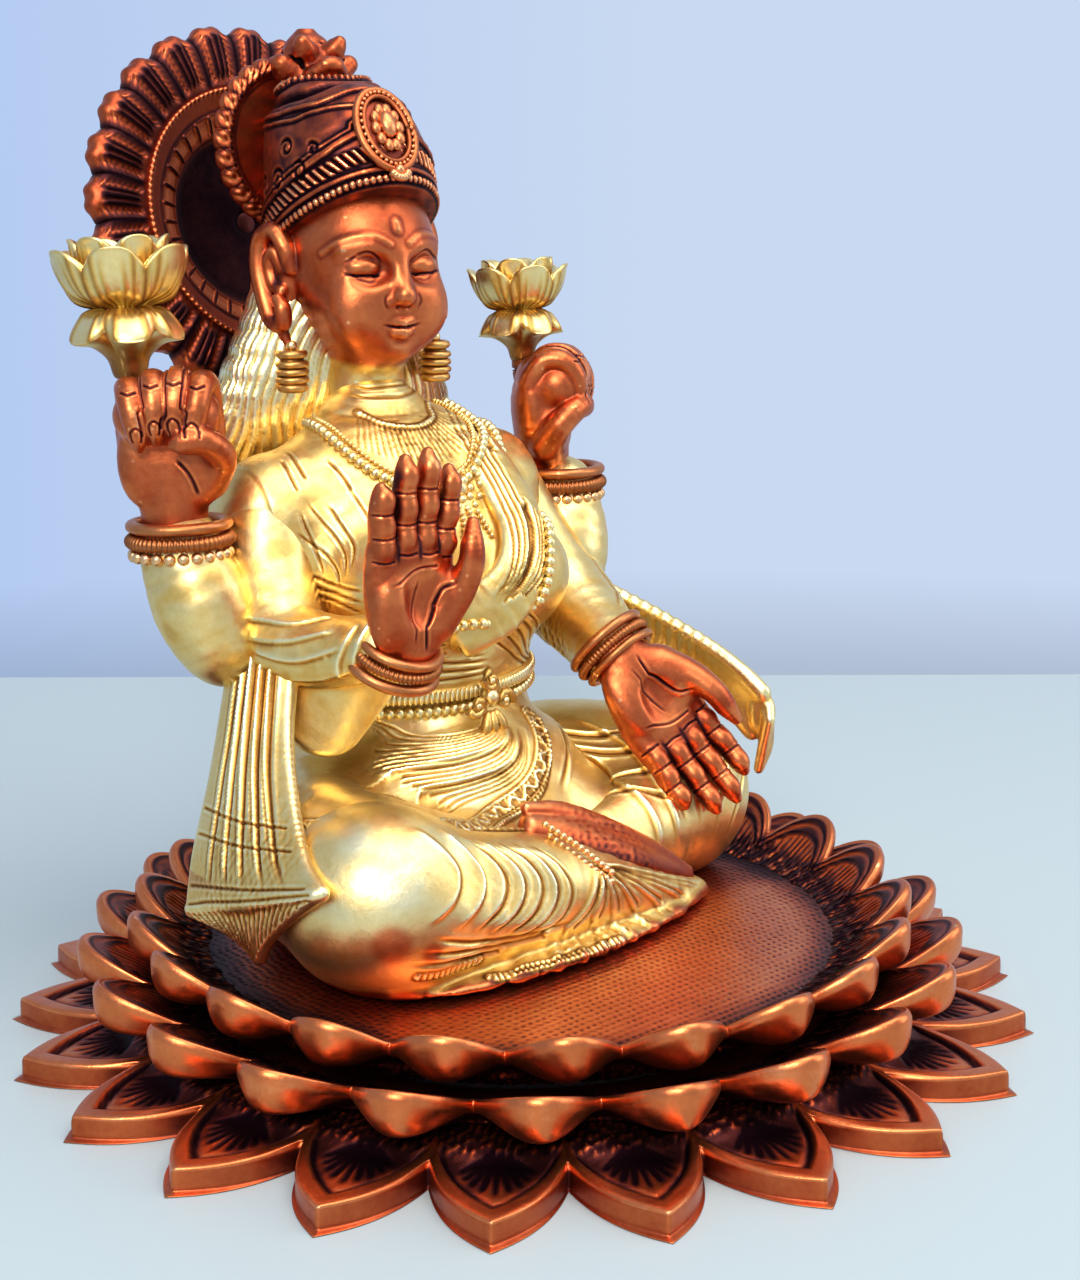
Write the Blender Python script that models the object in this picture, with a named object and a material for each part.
"""Seated four-armed goddess on a three-tier lotus base: a table statue of brazed and screwed brass castings.

The base's middle, on the surface that it stands on, is the origin. The figure faces -Y, with its right at -X.
All sizes below are millimetres; the meshes are made in metres.
"""

import math

import bmesh
import bpy
from mathutils import Matrix, Vector
from mathutils.bvhtree import BVHTree

MM = 0.001
GAP = 0.5                  # left between two castings that meet

# Lotus base
PETALS = 22
BASE_RADIUS = 140.0        # tips of the bottom petals
PLATE_TOP = 6.4
PLATE_INNER_TOP = 8.0
HOLLOW_RADIUS = 74.0       # the open underside of the casting
MIDDLE_RADIUS = 122.0
MIDDLE_TOP = 27.4
SEAT_RADIUS = 108.5
SEAT_TOP = 35.7
SEAT_UNDERSIDE = 15.4
FLOOR_RADIUS = 87.0
FLOOR_TOP = 23.0

# Figure
SHOULDER_HALF_WIDTH = 46.0
REAR_HAND_X = 69.0         # the raised rear hands stand at each side of the head
HEAD_CENTRE = (0, 68, 200)
CROWN_BAND_Z = 221.0
HEAD_TURN = 8.0              # degrees, towards the figure's right

# Halo and the disc behind the crown
FEATHERS = 24
HALO_CENTRE = (0, 118, 214)
HALO_RADIUS = 56.0
HALO_INNER_RADIUS = 37.0
HALO_LEAN = 15.0           # degrees, top away from the face
DISC_CENTRE = (0, 102, 235.5)
DISC_RADIUS = 25.0
DISC_LEAN = 5.0

SCREW_RADIUS = 2.5
SCREW_HEAD_RADIUS = 4.6

# Each torso station is (centre, half width, half depth), from the waist up to the neck
TORSO_STATIONS = [((0, 48, 80), 38, 28), ((0, 46, 92), 39, 29), ((0, 45, 110), 43, 31),
                  ((0, 50, 126), SHOULDER_HALF_WIDTH, 29), ((0, 57, 140), SHOULDER_HALF_WIDTH - 2, 23),
                  ((0, 61, 150), 30, 17), ((0, 63, 156), 16, 13)]

GOLD = ("polished_brass", (0.80, 0.62, 0.28, 1.0), 0.28)
COPPER = ("copper_patina", (0.40, 0.13, 0.05, 1.0), 0.34)
STEEL = ("steel_fixing", (0.45, 0.45, 0.46, 1.0), 0.35)


def clear_scene():
    for thing in list(bpy.data.objects):
        bpy.data.objects.remove(thing, do_unlink=True)


def new_collection(name):
    collection = bpy.data.collections.new(name)
    bpy.context.scene.collection.children.link(collection)
    return collection


def material_for(finish):
    name, colour, roughness = finish
    material = bpy.data.materials.get(name)
    if material is None:
        material = bpy.data.materials.new(name)
        material.use_nodes = True
        shader = material.node_tree.nodes["Principled BSDF"]
        shader.inputs["Base Color"].default_value = colour
        shader.inputs["Metallic"].default_value = 1.0
        shader.inputs["Roughness"].default_value = roughness
    return material


def piece_from_bmesh(name, bm, finish):
    bmesh.ops.recalc_face_normals(bm, faces=bm.faces)
    mesh = bpy.data.meshes.new(name)
    bm.to_mesh(mesh)
    bm.free()
    mesh.materials.append(material_for(finish))
    piece = bpy.data.objects.new(name, mesh)
    CASTINGS.objects.link(piece)
    return piece


def skin(rings, closed_loop=False):
    """A closed surface through rings of points; a ring of one point is a tip."""
    bm = bmesh.new()
    made = [[bm.verts.new(Vector(point) * MM) for point in ring] for ring in rings]
    pairs = list(zip(made, made[1:]))
    if closed_loop:
        pairs.append((made[-1], made[0]))
    for low, high in pairs:
        count = max(len(low), len(high))
        for i in range(count):
            j = (i + 1) % count
            corners = []
            for corner in (low[i % len(low)], low[j % len(low)], high[j % len(high)], high[i % len(high)]):
                if corner not in corners:
                    corners.append(corner)
            bm.faces.new(corners)
    if not closed_loop:
        for end in (made[0], made[-1]):
            if len(end) > 1:
                bm.faces.new(end)
    return bm


def oval(centre, across, out, half_width, half_depth, sides):
    points = []
    for i in range(sides):
        angle = 2 * math.pi * i / sides
        points.append(centre + across * (half_width * math.cos(angle)) + out * (half_depth * math.sin(angle)))
    return points


def limb(name, stations, finish, facing=(0, -1, 0), sides=12, domed=(True, True)):
    """A soft form lofted through ovals: each station is (centre, half width, half depth towards facing)."""
    centres = [Vector(station[0]) for station in stations]
    rings = []
    last = len(stations) - 1
    for i, (centre, half_width, half_depth) in enumerate(stations):
        along = (centres[min(i + 1, last)] - centres[max(i - 1, 0)]).normalized()
        across = along.cross(Vector(facing)).normalized()
        out = across.cross(along).normalized()
        centre = Vector(centre)
        ring = oval(centre, across, out, half_width, half_depth, sides)
        cap = []
        if (i == 0 and domed[0]) or (i == last and domed[1]):
            outward = along if i == last else -along
            reach = 0.75 * min(half_width, half_depth)
            for lift, shrink in ((0.55, 0.86), (0.95, 0.5)):
                cap.append(oval(centre + outward * reach * lift, across, out,
                                half_width * shrink, half_depth * shrink, sides))
        if i == 0:
            rings.extend(reversed(cap))
            rings.append(ring)
        else:
            rings.append(ring)
            rings.extend(cap)
    return piece_from_bmesh(name, skin(rings), finish)


def petal_ring(name, profile, count, finish, place=None, first_tip=0.0, samples=4):
    """A scalloped ring: each profile row is (tip radius, tip height, valley radius, valley height)."""
    tip_share = {4: (1.0, 0.66, 0.0, 0.66), 3: (1.0, 0.35, 0.35), 2: (1.0, 0.0)}[samples]
    rings = []
    for tip_r, tip_z, valley_r, valley_z in profile:
        if tip_r == 0:
            rings.append([(0, 0, tip_z)])
            continue
        ring = []
        for i in range(count * samples):
            share = tip_share[i % samples]
            angle = math.radians(first_tip) + 2 * math.pi * i / (count * samples)
            radius = valley_r + (tip_r - valley_r) * share
            height = valley_z + (tip_z - valley_z) * share
            ring.append((radius * math.sin(angle), -radius * math.cos(angle), height))
        rings.append(ring)
    bm = skin(rings, closed_loop=profile[0][0] > 0)
    if place is not None:
        bm.transform(place)
    return piece_from_bmesh(name, bm, finish)


def ring_bar(name, centre, axis, radius, half_height, bar, finish, sides=20, flatten=1.0):
    """A band with rounded corners round an axis, such as a stack of bangles."""
    upright = Vector((0, 0, 1)).rotation_difference(Vector(axis).normalized()).to_matrix().to_4x4()
    corner = bar * 0.4
    profile = [(radius - bar, -half_height), (radius - corner, -half_height), (radius, -half_height + corner),
               (radius, half_height - corner), (radius - corner, half_height), (radius - bar, half_height)]
    rings = []
    for r, z in profile:
        turns = [2 * math.pi * i / sides for i in range(sides)]
        rings.append([(r * math.cos(turn), r * flatten * math.sin(turn), z) for turn in turns])
    bm = skin(rings, closed_loop=True)
    bm.transform(Matrix.Translation(Vector(centre) * MM) @ upright)
    return piece_from_bmesh(name, bm, finish)


def cylinder(name, centre, radius, height, finish, sides=16):
    bm = bmesh.new()
    bmesh.ops.create_cone(bm, cap_ends=True, segments=sides, radius1=radius * MM, radius2=radius * MM,
                          depth=height * MM, matrix=Matrix.Translation(Vector(centre) * MM))
    return piece_from_bmesh(name, bm, finish)


def tilted(centre, lean):
    """Stands a flat ring up to face -Y at a place, its top leaning back."""
    upright = Matrix.Rotation(math.radians(90 - lean), 4, "X")
    return Matrix.Translation(Vector(centre) * MM) @ upright


def apply_boolean(piece, cutter, operation):
    modifier = piece.modifiers.new(operation.lower(), "BOOLEAN")
    modifier.operation = operation
    modifier.object = cutter
    modifier.solver = "EXACT"
    bpy.context.view_layer.update()
    graph = bpy.context.evaluated_depsgraph_get()
    made = bpy.data.meshes.new_from_object(piece.evaluated_get(graph))
    piece.modifiers.remove(modifier)
    piece.data = made


def union(piece, *others):
    for other in others:
        apply_boolean(piece, other, "UNION")
        bpy.data.objects.remove(other, do_unlink=True)
    return piece


def islands(bm):
    left = set(bm.verts)
    while left:
        stack = [left.pop()]
        found = list(stack)
        while stack:
            for edge in stack.pop().link_edges:
                for vert in edge.verts:
                    if vert in left:
                        left.discard(vert)
                        found.append(vert)
                        stack.append(vert)
        yield found


def keep_main_body(piece):
    """Drops the crumbs that a cut leaves beside the casting."""
    bm = bmesh.new()
    bm.from_mesh(piece.data)
    groups = sorted(islands(bm), key=len)
    for group in groups[:-1]:
        bmesh.ops.delete(bm, geom=group, context="VERTS")
    bmesh.ops.triangulate(bm, faces=bm.faces)
    bm.to_mesh(piece.data)
    bm.free()


def grown_copy(piece):
    """A hidden copy of a casting, grown by the gap, that cuts room for it in its neighbours."""
    bm = bmesh.new()
    bm.from_mesh(piece.data)
    bm.normal_update()
    moves = [vert.normal * vert.calc_shell_factor() * GAP * MM for vert in bm.verts]
    for vert, move in zip(bm.verts, moves):
        vert.co += move
    mesh = bpy.data.meshes.new(piece.name + "_room")
    bm.to_mesh(mesh)
    bm.free()
    copy = bpy.data.objects.new(piece.name + "_room", mesh)
    copy.hide_render = True
    copy.display_type = "WIRE"
    CUTTERS.objects.link(copy)
    return copy


def box_of(piece):
    corners = [vert.co for vert in piece.data.vertices]
    low = [min(c[i] for c in corners) for i in range(3)]
    high = [max(c[i] for c in corners) for i in range(3)]
    return low, high


def meet(first, second):
    low_a, high_a = box_of(first)
    low_b, high_b = box_of(second)
    return all(low_a[i] < high_b[i] and low_b[i] < high_a[i] for i in range(3))


def fit_together(pieces, rooms):
    """Cuts each casting by the grown shape of every earlier one that it reaches, and returns all of those."""
    rooms = list(rooms)
    for piece in pieces:
        for room in rooms:
            if meet(piece, room):
                apply_boolean(piece, room, "DIFFERENCE")
        keep_main_body(piece)
        rooms.append(grown_copy(piece))
    return rooms


def face_right(pieces):
    """Turns the head and what it wears a little to the figure's right."""
    x, y, z = HEAD_CENTRE
    axis = Matrix.Translation((x * MM, y * MM, 0))
    turn = axis @ Matrix.Rotation(math.radians(-HEAD_TURN), 4, "Z") @ axis.inverted()
    for piece in pieces:
        piece.data.transform(turn)
    return pieces


def make_base():
    inner = HOLLOW_RADIUS
    plate = petal_ring("lotus_base_plate", [
        (inner, 0, inner, 0),
        (BASE_RADIUS, 0, 112.5, 0),
        (BASE_RADIUS, PLATE_TOP, 112.5, PLATE_TOP - 1.4),
        (100, PLATE_INNER_TOP, 96, PLATE_INNER_TOP),
        (inner, PLATE_INNER_TOP, inner, PLATE_INNER_TOP)], PETALS, COPPER, first_tip=4.7)
    foot = PLATE_INNER_TOP + GAP
    middle = petal_ring("lotus_middle_petals", [
        (inner + 2, foot, inner + 2, foot),
        (94, foot, 92, foot),
        (114, 17, 101, 11),
        (MIDDLE_RADIUS, 22.5, 105, 14),
        (MIDDLE_RADIUS - 1.5, MIDDLE_TOP, 104.5, 17.5),
        (112, 23.5, 101, 17.5),
        (88, 14.9, 88, 14.9),
        (inner + 2, 14.9, inner + 2, 14.9)], PETALS, COPPER, first_tip=9.5)
    seat = petal_ring("lotus_seat_dish", [
        (0, SEAT_UNDERSIDE, 0, SEAT_UNDERSIDE),
        (86, SEAT_UNDERSIDE, 86, SEAT_UNDERSIDE),
        (102, 26, 92, 20),
        (SEAT_RADIUS, 31, 97, 23.5),
        (SEAT_RADIUS - 1.5, SEAT_TOP, 96.5, 27),
        (99, 32, 93, 26.5),
        (FLOOR_RADIUS, FLOOR_TOP - 1, FLOOR_RADIUS, FLOOR_TOP - 1),
        (0, FLOOR_TOP, 0, FLOOR_TOP)], PETALS, COPPER, first_tip=-3.0)
    return [plate, seat, middle]


def make_fixings():
    """Two screws hold the figure's hips to the dish from the hollow underside, and one holds the halo."""
    made = []
    for side, x in (("right", -22.0), ("left", 22.0)):
        washer_z = SEAT_UNDERSIDE - 0.4 - 0.6
        head_z = washer_z - 0.6 - 0.4 - 1.6
        washer = cylinder("seat_washer_" + side, (x, 50, washer_z), 6.5, 1.2, STEEL)
        shaft = cylinder("seat_screw_" + side, (x, 50, head_z + 13), SCREW_RADIUS, 26, STEEL)
        head = cylinder("head", (x, 50, head_z), SCREW_HEAD_RADIUS, 3.2, STEEL, sides=6)
        made += [union(shaft, head), washer]
    return made


def make_lower_body():
    hips = limb("hips", [((0, 50, 21), 48, 33), ((0, 50, 40), 52, 36), ((0, 49, 60), 46, 33), ((0, 48, 74), 39, 28)],
                GOLD, domed=(False, False))
    right_thigh = limb("right_leg", [((-34, 48, 44), 22, 22), ((-50, 22, 46), 23, 22), ((-56, -4, 46), 25, 23.5)],
                       GOLD, facing=(0, 0, 1))
    right_shin = limb("shin", [((-50, -13, 43), 20, 22), ((-24, -18, 39), 17, 18.5), ((2, -18, 35), 14, 15),
                               ((30, -17, 30), 12, 8), ((49, -15, 27), 6, 3.5)], GOLD, facing=(0, 0, 1))
    left_thigh = limb("left_leg", [((34, 49, 46), 22, 21), ((52, 30, 46), 23.5, 22.5), ((65.5, 8.5, 46), 23.5, 23)],
                      GOLD, facing=(0, 0, 1))
    left_shin = limb("shin", [((62, 3, 42), 18, 19), ((38, -2, 39), 15, 16), ((8, -2, 35), 13, 13)],
                     GOLD, facing=(0, 0, 1))
    foot = limb("right_foot", [((-7, -12, 55), 5, 7), ((6, -17, 52), 5, 9), ((22, -19, 43), 4.5, 8),
                                ((38, -18, 35), 3.5, 5.5), ((48, -17, 30), 2, 2.5)],
                COPPER, facing=(0, -0.7, 0.7), sides=10)
    return [hips, union(right_thigh, right_shin), foot, union(left_thigh, left_shin)]


def make_torso():
    return limb("torso", TORSO_STATIONS, GOLD, domed=(False, False))


def skin_of(piece):
    """A search tree of a casting's surface, to lay ornaments on it."""
    bm = bmesh.new()
    bm.from_mesh(piece.data)
    tree = BVHTree.FromBMesh(bm)
    bm.free()
    return tree


def worn_cord(name, chest, places, radius, finish):
    """A cast bead cord that lies on the chest, through places given from the front as (x, z)."""
    stations = []
    for x, z in places:
        spot, normal, _, _ = chest.ray_cast(Vector((x, -200, z)) * MM, Vector((0, 1, 0)))
        stations.append((spot / MM + normal * radius * 0.4, radius, radius))
    return limb(name, stations, finish, facing=(0, -1, 0.3), sides=8)


def make_head():
    x, y, z = HEAD_CENTRE
    skull = limb("head", [((x, y - 2, 156), 13, 12), ((x, y, 168), 12.5, 12), ((x, y - 5, 178), 14, 14),
                          ((x, y - 3, 188), 19.5, 20), ((x, y - 1, z), 22, 23), ((x, y, 214), 22, 24),
                          ((x, y, 221), 21, 23)], COPPER, domed=(False, False))
    ears = []
    for side in (-1, 1):
        ears.append(limb("ear", [((side * 21, y - 3, 181), 5, 3), ((side * 22.5, y - 2, 195), 7, 4),
                                 ((side * 23, y - 1, 207), 7, 4)], COPPER, facing=(side, 0, 0), sides=8))
    return union(skull, *ears)


def make_hair():
    return limb("hair", [((0, 84, 120), 34, 8), ((0, 85, 138), 42, 10), ((0, 84, 156), 43, 13),
                         ((0, 85, 176), 36, 12), ((0, 86, 196), 26, 12), ((0, 84, 212), 19, 11)], GOLD)


def make_crown():
    y = HEAD_CENTRE[1] + 2
    crown = limb("crown", [((0, y, CROWN_BAND_Z + 0.6), 25, 27), ((0, y, CROWN_BAND_Z + 6), 25.5, 28),
                           ((0, y + 5, CROWN_BAND_Z + 16), 23.5, 23), ((0, y + 10, CROWN_BAND_Z + 25), 19, 17),
                           ((0, y + 14, CROWN_BAND_Z + 30), 13, 12)], COPPER, domed=(False, True))
    medallion = limb("crown_medallion", [((0, 45, 229), 7, 3), ((0, 49, 238), 9, 3.4), ((0, 56, 246), 6, 3)],
                     COPPER, sides=10)
    finial = limb("crown_finial", [((0, 88, 252), 12, 8), ((0, 89, 259), 9, 7), ((0, 90, 265), 4, 4)], COPPER,
                  sides=10)
    return [crown, medallion, finial]


def make_halo():
    reach = HALO_RADIUS
    inner = HALO_INNER_RADIUS
    half = 2.4
    fan = petal_ring("halo_feather_fan", [
        (inner, -half, inner, -half),
        (reach - 1, -half, reach - 4.5, -half),
        (reach, 0, reach - 4, 0),
        (reach - 1, half, reach - 4.5, half),
        (inner, half, inner, half)], FEATHERS, COPPER, place=tilted(HALO_CENTRE, HALO_LEAN), samples=3)
    rim = inner - GAP
    ring = petal_ring("halo_inner_ring", [
        (0, -4.4, 0, -4.4),
        (rim - 0.5, -3, rim - 0.5, -3),
        (rim, 3.4, rim, 3.4),
        (rim - 3, 3.8, rim - 3, 3.8),
        (28, -0.5, 28, -0.5),
        (24, -2, 24, -2),
        (0, -2, 0, -2)], FEATHERS, COPPER, place=tilted(HALO_CENTRE, HALO_LEAN), samples=2)
    disc = petal_ring("crown_disc", [
        (0, -1.6, 0, -1.6),
        (DISC_RADIUS, -1.6, DISC_RADIUS - 1.4, -1.6),
        (DISC_RADIUS, 1.6, DISC_RADIUS - 1.4, 1.6),
        (DISC_RADIUS - 4, 2.4, DISC_RADIUS - 4, 2.4),
        (DISC_RADIUS - 6, 0.8, DISC_RADIUS - 6, 0.8),
        (0, 0.8, 0, 0.8)], 20, COPPER, place=tilted(DISC_CENTRE, DISC_LEAN), samples=2)
    bracket = limb("halo_bracket", [((0, 90, 170), 7, 7), ((0, 102.8, 170), 7, 7)], COPPER, facing=(0, 0, 1),
                   domed=(False, False))
    screw = limb("halo_screw", [((0, 94, 170), 2, 2), ((0, 110, 170), 2, 2)], STEEL, facing=(0, 0, 1), sides=8,
                 domed=(False, False))
    head = limb("head", [((0, 109.6, 170), 4, 4), ((0, 112.4, 170), 3.6, 3.6)], STEEL, facing=(0, 0, 1), sides=12,
                domed=(False, False))
    return [union(screw, head), disc, ring, fan, bracket]


def make_ornaments(torso):
    chest = skin_of(torso)
    necklace = worn_cord("necklace", chest, [(-24, 151), (-17, 146), (-9, 143.5), (0, 142.5), (9, 143.5), (17, 146),
                                      (24, 151)], 2.2, GOLD)
    pendant = limb("pendant", [((0, 21.5, 130), 4, 3), ((0, 23.5, 135), 7, 4), ((0, 26, 139.5), 5, 3)], GOLD,
                   sides=10)
    garland = worn_cord("garland", chest, [(29, 145), (31, 134), (29, 123), (20, 114), (8, 110), (-6, 111), (-17, 117),
                                    (-24, 127), (-28, 139)], 2.0, GOLD)
    belt = ring_bar("belt", (0, 47.5, 82), (0, 0.05, 1), 41, 4.2, 6, GOLD, sides=20, flatten=0.76)
    clasp = limb("belt_clasp", [((0, 14.5, 77), 6, 3), ((0, 14, 84), 8, 4), ((0, 15.5, 90), 5, 3)], GOLD, sides=10)
    return [belt, clasp, necklace, pendant, garland]


def make_shawls():
    right = limb("right_shawl", [((-50, 52, 108), 11, 5), ((-60, 48, 84), 12, 6), ((-68, 43, 58), 15, 6),
                                 ((-76, 36, 38), 19, 6), ((-80, 28, 27), 12, 4)], GOLD, facing=(-0.75, -0.66, 0.1))
    left = limb("left_shawl", [((66, 66, 104), 9, 5), ((76, 50, 92), 11, 5), ((84, 24, 78), 12, 5),
                               ((87, 0, 68), 9, 5)], GOLD, facing=(0.8, -0.1, 0.6))
    return [right, left]


def make_front_arms():
    right_arm = limb("right_front_forearm", [((-47, 50, 116), 13, 14), ((-50, 38, 102), 13, 13),
                                             ((-46, 22, 103), 11, 11), ((-41, 8, 109), 9, 8.5)],
                     GOLD, facing=(0, 0, 1))
    right_bangles = ring_bar("right_front_bangles", (-41, 8, 109), (0.3, -0.85, 0.42), 12, 5, 3.4, COPPER, sides=12)
    right_palm = limb("right_front_hand", [((-38, 1, 112), 9, 7), ((-34, -1, 120), 13, 6.5), ((-34, 1, 133), 13.5, 6),
                                           ((-35, 3, 147), 11, 4.5), ((-35, 3, 160), 6, 3.5)],
                      COPPER, facing=(-0.35, -0.92, 0.1), sides=8)
    right_thumb = limb("thumb", [((-25, -2, 119), 5, 5), ((-19, -3, 130), 4.4, 4.4), ((-20, -5, 140), 3.2, 3.2)],
                       COPPER, sides=8)
    left_arm = limb("left_front_arm", [((48, 58, 122), 13, 13), ((54, 46, 104), 13, 13), ((53, 32, 97), 12, 11),
                                       ((48, 14, 92), 9.5, 9)], GOLD, facing=(0, 0, 1))
    left_bangles = ring_bar("left_front_bangles", (48, 14, 92), (-0.25, -0.92, -0.3), 12.5, 5, 3.6, COPPER, sides=12)
    left_palm = limb("left_front_hand", [((47, 6, 88), 10, 7), ((51, -4, 79), 13, 6.5), ((57, -12, 67), 13, 6),
                                         ((63, -20, 54), 9, 4.5)], COPPER, facing=(-0.5, -0.75, 0.45), sides=8)
    left_thumb = limb("thumb", [((60, -3, 79), 5, 5), ((70, -13, 74), 4, 4), ((72, -18, 67), 3, 3)],
                      COPPER, sides=8)
    return [right_arm, right_bangles, union(right_palm, right_thumb),
            left_arm, left_bangles, union(left_palm, left_thumb)]


def make_rear_arms(side, sign):
    x = sign * REAR_HAND_X
    upper = limb(side + "_rear_arm", [((sign * 38, 66, 136), 13, 13), ((sign * 49, 65, 119), 14, 14),
                                      ((sign * 58, 57, 104), 12, 12)], GOLD)
    forearm = limb(side + "_rear_forearm", [((sign * 63, 53, 101), 11.5, 11.5), ((x - sign * 1.5, 56, 115), 13.8, 13.8),
                                            ((x + sign * 1, 58, 132), 11.5, 11.5)], GOLD)
    bangles = ring_bar(side + "_rear_bangles", (x, 58, 136), (0, 0.05, 1), 14.5, 6, 4, COPPER, sides=12)
    hand = limb(side + "_rear_hand", [((x, 59, 143), 9.5, 8), ((x, 60, 152), 15, 10), ((x, 62, 166), 17, 12),
                                      ((x, 66, 178), 12, 9)], COPPER, facing=(sign * 0.6, -0.8, 0), sides=12)
    lotus = petal_ring(side + "_rear_lotus", [
        (0, -22, 0, -22), (5, -22, 5, -22), (4.5, -14, 4.5, -14), (13, -12, 11, -11), (15, -7, 12, -6),
        (8, -2, 7, -2), (14, 4, 11, 3), (19, 12, 14, 8), (12, 10, 10, 8), (0, 9, 0, 9)],
        8, GOLD, place=Matrix.Translation(Vector((x, 82, 197)) * MM) @ Matrix.Rotation(math.radians(-14), 4, "X"),
        samples=2)
    return [forearm, upper, bangles, hand, lotus]


def make_earrings():
    made = []
    for side, sign in (("right", -1), ("left", 1)):
        made.append(limb(side + "_earring", [((sign * 23, 66, 168), 4.4, 4.4), ((sign * 23, 66, 173), 4.8, 4.8),
                                             ((sign * 22.5, 67, 178), 2.4, 2.4)], GOLD, sides=8))
    return made


clear_scene()
CASTINGS = new_collection("goddess_statue")
CUTTERS = new_collection("cutters")

torso = make_torso()
belt, clasp, necklace, pendant, garland = make_ornaments(torso)
base_rooms = fit_together(make_fixings() + make_base(), [])
seat_rooms = [room for room in base_rooms if "seat" in room.name]
order = make_front_arms()
order += make_rear_arms("right", -1) + make_rear_arms("left", 1) + face_right([make_head()] + make_crown() + make_earrings())
order += make_lower_body() + [torso, clasp, belt, pendant, necklace, garland]
order += make_halo() + [make_hair()] + make_shawls()
fit_together(order, seat_rooms)

for piece in CASTINGS.objects:
    piece.data.shade_smooth()
    piece.data.set_sharp_from_angle(angle=math.radians(35))
